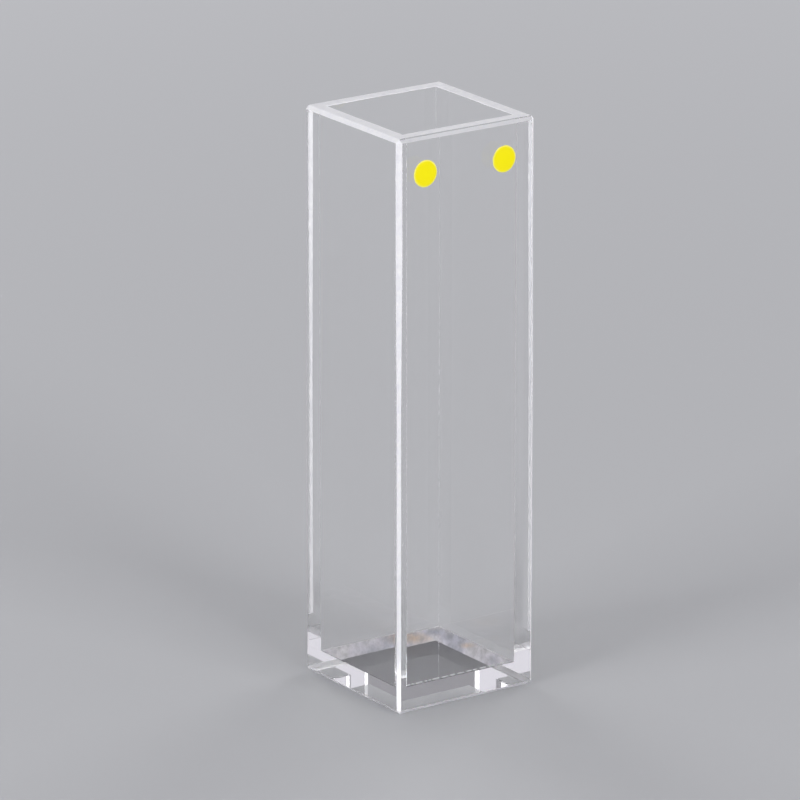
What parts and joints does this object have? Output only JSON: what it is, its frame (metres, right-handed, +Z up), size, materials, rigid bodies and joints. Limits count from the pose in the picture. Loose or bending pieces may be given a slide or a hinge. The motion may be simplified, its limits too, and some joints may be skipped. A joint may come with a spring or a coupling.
{
  "type": "cuvette",
  "caption": "Square clear quartz cuvette, open at the top, with ground bevelled edges, a fused base and yellow dots printed near the rim.",
  "frame": {"origin": "middle of the underside of the base plate, the face that the cell stands on", "axes": "+Z up along the cell's length; the window with the printed dots faces -Y; +X is to the right of that face"},
  "size_m": [0.0126, 0.0126, 0.045],
  "materials": {
    "clear_quartz": "optically polished faces, ground white rim and bevelled edges",
    "yellow_enamel": "fired enamel print, slightly domed, semi-gloss"
  },
  "bodies": {
    "root": {"base_plate": "clear_quartz", "front_window": "clear_quartz", "rear_window": "clear_quartz", "left_window": "clear_quartz", "right_window": "clear_quartz", "left_dot": "yellow_enamel", "right_dot": "yellow_enamel"}
  },
  "joints": []
}
